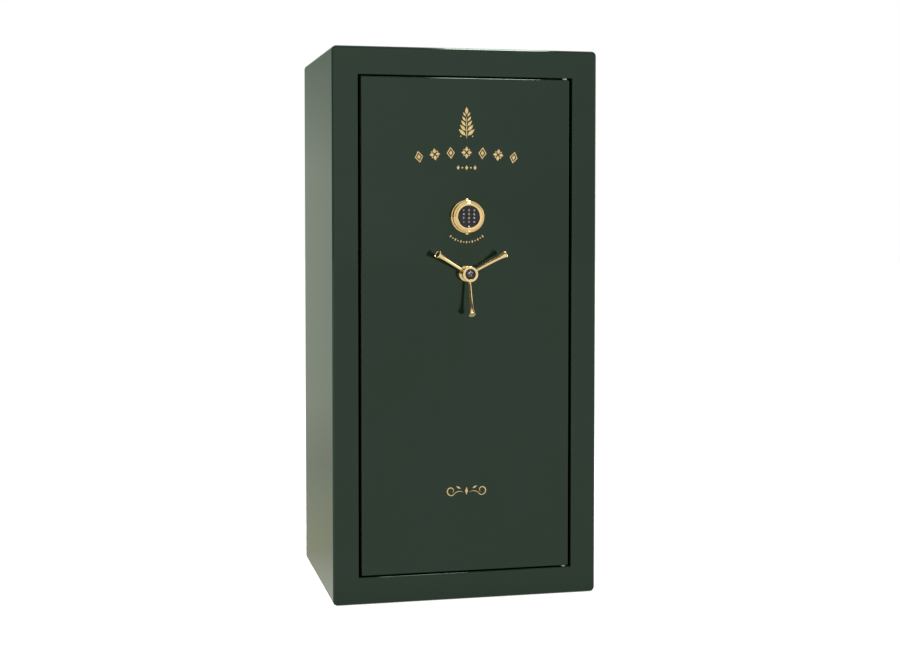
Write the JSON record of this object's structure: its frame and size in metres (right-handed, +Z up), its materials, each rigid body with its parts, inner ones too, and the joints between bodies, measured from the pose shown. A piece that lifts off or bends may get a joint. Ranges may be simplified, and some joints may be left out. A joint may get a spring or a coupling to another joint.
{
  "type": "gun safe",
  "caption": "Tall fire-lined gun safe with a hinged steel door, a three-spoke handle that throws locking bolts on all sides, and a round electronic keypad.",
  "frame": {"origin": "centre of the four anchor holes in the floor, on the underside of the body", "axes": "+Z up, +X to the right seen from the front, -Y towards the front where the door is"},
  "size_m": [0.753, 0.6657, 1.537],
  "materials": {
    "paint": "smooth high-gloss baked enamel, very dark green",
    "case_paint": "satin grey powder coat",
    "brass": "polished and lacquered",
    "black_gloss": "smooth gloss black",
    "key_black": "fine satin black with printed pale numbers",
    "bolt_chrome": "polished chrome plate",
    "steel": "zinc plated",
    "bush_bronze": "machined bronze",
    "lock_alloy": "die cast",
    "fire_board": "paper faced gypsum board",
    "carpet": "short pile carpet glued over board",
    "seal_rubber": "matt black",
    "lamp": "pale clear lens",
    "board_green": "solder mask",
    "battery_black": "printed sleeve"
  },
  "bodies": {
    "cabinet": {"body_shell": "paint", "front_frame": "paint", "back_plate": "paint", "side_fireboards": "fire_board", "top_fireboard": "fire_board", "floor_fireboard": "fire_board", "back_fireboard": "fire_board", "side_liners": "carpet", "back_liner": "carpet", "top_liner": "carpet", "floor_mat": "carpet", "divider": "carpet", "top_shelf": "carpet", "side_shelves": "carpet", "barrel_rest": "carpet", "shelf_clips": "steel", "door_seal": "seal_rubber", "hinge_pivots": "steel"},
    "door": {"door_plate": "paint", "door_fireboard": "fire_board", "door_chassis": "case_paint", "hinge_bushes": "bush_bronze", "door_trim": "carpet", "spindle_bush": "bush_bronze", "handle_rosette": "brass", "lock_case": "lock_alloy", "lock_cover": "lock_alloy", "lock_cable": "seal_rubber", "keypad_base": "brass", "keypad_bezel": "brass", "keypad_face": "black_gloss", "keypad_board": "board_green", "battery": "battery_black", "led_lens": "lamp"},
    "handle": {"handle_hub": "brass", "handle_spokes": "brass", "handle_cap": "black_gloss", "spindle": "steel", "cam": "steel"},
    "left_boltwork": {"left_bolt_bar": "steel", "left_bolts": "bolt_chrome"},
    "right_boltwork": {"right_bolt_bar": "steel", "right_bolts": "bolt_chrome"},
    "top_boltwork": {"top_bolt_bar": "steel", "top_bolts": "bolt_chrome"},
    "bottom_boltwork": {"bottom_bolt_bar": "steel", "bottom_bolts": "bolt_chrome"},
    "swing_bolt": {"swing_bolt": "steel"},
    "key_1": {"key_1": "key_black"},
    "key_2": {"key_2": "key_black"},
    "key_3": {"key_3": "key_black"},
    "key_4": {"key_4": "key_black"},
    "key_5": {"key_5": "key_black"},
    "key_6": {"key_6": "key_black"},
    "key_7": {"key_7": "key_black"},
    "key_8": {"key_8": "key_black"},
    "key_9": {"key_9": "key_black"},
    "key_star": {"key_star": "key_black"},
    "key_0": {"key_0": "key_black"},
    "key_hash": {"key_hash": "key_black"}
  },
  "joints": [
    {"name": "door_hinge", "type": "hinge", "parent": "cabinet", "child": "door", "pos_m": [0.2855, -0.281, 0.7], "axis": [0, 0, 1], "range_deg": [0, 100]},
    {"name": "handle_turn", "type": "hinge", "parent": "door", "child": "handle", "pos_m": [0, -0.295, 0.913], "axis": [0, -1, 0], "range_deg": [0, 80]},
    {"name": "left_bolts_slide", "type": "slide", "parent": "door", "child": "left_boltwork", "axis": [-1, 0, 0], "range_m": [0, 0.026]},
    {"name": "right_bolts_slide", "type": "slide", "parent": "door", "child": "right_boltwork", "axis": [1, 0, 0], "range_m": [0, 0.026]},
    {"name": "top_bolts_slide", "type": "slide", "parent": "door", "child": "top_boltwork", "axis": [0, 0, 1], "range_m": [0, 0.026]},
    {"name": "bottom_bolts_slide", "type": "slide", "parent": "door", "child": "bottom_boltwork", "axis": [0, 0, -1], "range_m": [0, 0.026]},
    {"name": "swing_bolt_turn", "type": "hinge", "parent": "door", "child": "swing_bolt", "pos_m": [-0.014, -0.246, 1.098], "axis": [0, -1, 0], "range_deg": [0, 60]},
    {"name": "key_1_press", "type": "slide", "parent": "door", "child": "key_1", "axis": [0, 1, 0], "range_m": [0, 0.001], "stiffness_N_per_m": 1500, "springref_m": -0.0005},
    {"name": "key_2_press", "type": "slide", "parent": "door", "child": "key_2", "axis": [0, 1, 0], "range_m": [0, 0.001], "stiffness_N_per_m": 1500, "springref_m": -0.0005},
    {"name": "key_3_press", "type": "slide", "parent": "door", "child": "key_3", "axis": [0, 1, 0], "range_m": [0, 0.001], "stiffness_N_per_m": 1500, "springref_m": -0.0005},
    {"name": "key_4_press", "type": "slide", "parent": "door", "child": "key_4", "axis": [0, 1, 0], "range_m": [0, 0.001], "stiffness_N_per_m": 1500, "springref_m": -0.0005},
    {"name": "key_5_press", "type": "slide", "parent": "door", "child": "key_5", "axis": [0, 1, 0], "range_m": [0, 0.001], "stiffness_N_per_m": 1500, "springref_m": -0.0005},
    {"name": "key_6_press", "type": "slide", "parent": "door", "child": "key_6", "axis": [0, 1, 0], "range_m": [0, 0.001], "stiffness_N_per_m": 1500, "springref_m": -0.0005},
    {"name": "key_7_press", "type": "slide", "parent": "door", "child": "key_7", "axis": [0, 1, 0], "range_m": [0, 0.001], "stiffness_N_per_m": 1500, "springref_m": -0.0005},
    {"name": "key_8_press", "type": "slide", "parent": "door", "child": "key_8", "axis": [0, 1, 0], "range_m": [0, 0.001], "stiffness_N_per_m": 1500, "springref_m": -0.0005},
    {"name": "key_9_press", "type": "slide", "parent": "door", "child": "key_9", "axis": [0, 1, 0], "range_m": [0, 0.001], "stiffness_N_per_m": 1500, "springref_m": -0.0005},
    {"name": "key_star_press", "type": "slide", "parent": "door", "child": "key_star", "axis": [0, 1, 0], "range_m": [0, 0.001], "stiffness_N_per_m": 1500, "springref_m": -0.0005},
    {"name": "key_0_press", "type": "slide", "parent": "door", "child": "key_0", "axis": [0, 1, 0], "range_m": [0, 0.001], "stiffness_N_per_m": 1500, "springref_m": -0.0005},
    {"name": "key_hash_press", "type": "slide", "parent": "door", "child": "key_hash", "axis": [0, 1, 0], "range_m": [0, 0.001], "stiffness_N_per_m": 1500, "springref_m": -0.0005}
  ],
  "couplings": [
    {"joint": "left_bolts_slide", "follows": "handle_turn", "m_per_rad": 0.01862},
    {"joint": "right_bolts_slide", "follows": "handle_turn", "m_per_rad": 0.01862},
    {"joint": "top_bolts_slide", "follows": "handle_turn", "m_per_rad": 0.01862},
    {"joint": "bottom_bolts_slide", "follows": "handle_turn", "m_per_rad": 0.01862},
    {"joint": "swing_bolt_turn", "follows": "handle_turn", "ratio": 0.75}
  ]
}
